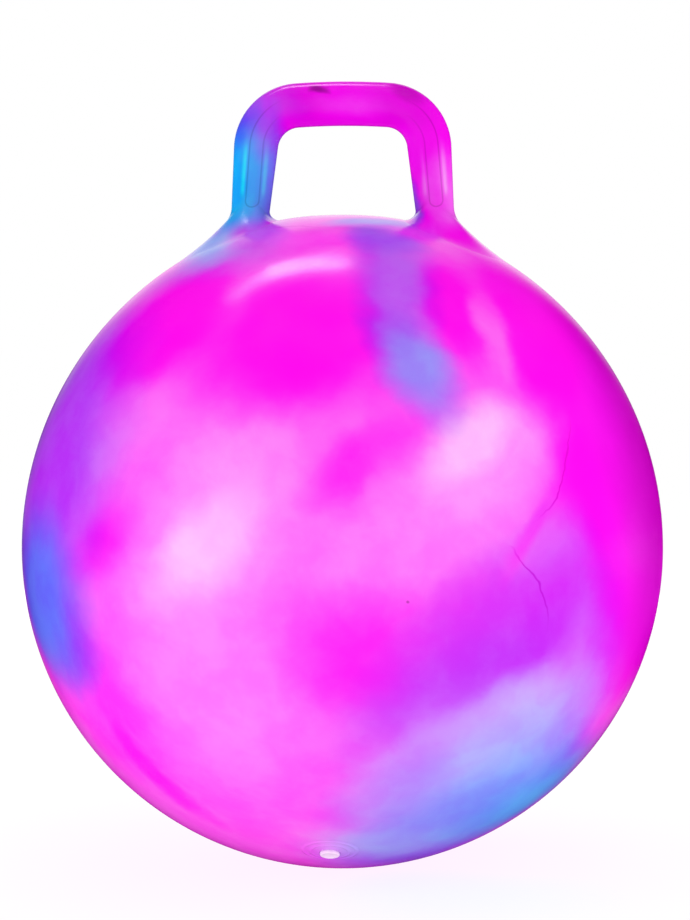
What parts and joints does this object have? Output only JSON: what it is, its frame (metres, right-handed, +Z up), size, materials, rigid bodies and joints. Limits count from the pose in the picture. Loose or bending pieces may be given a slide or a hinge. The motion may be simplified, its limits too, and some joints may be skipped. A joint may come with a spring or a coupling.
{
  "type": "hopper ball",
  "caption": "Inflated hopper ball with a closed loop handle on its crown and a pull-out plug valve low on its front, resting on a small flat patch.",
  "frame": {"origin": "on the floor under the ball's axis, at the middle of the patch that it rests on", "axes": "+Z up through the handle, +X along the handle's bar, -Y to the front, where the valve is"},
  "size_m": [0.45, 0.45, 0.5501],
  "materials": {
    "marbled_skin": "glossy marbled soft vinyl",
    "marbled_handle": "glossy marbled soft vinyl, thick and translucent",
    "valve_boss": "glossy soft vinyl",
    "plug": "white soft plastic"
  },
  "bodies": {
    "ball": {"ball_skin": "marbled_skin", "handle": "marbled_handle", "valve_seat": "valve_boss"},
    "plug": {"valve_plug": "plug"}
  },
  "joints": [
    {"name": "plug_pull", "type": "slide", "parent": "ball", "child": "plug", "axis": [0, -0.5075, -0.8616], "range_m": [0, 0.018]}
  ]
}
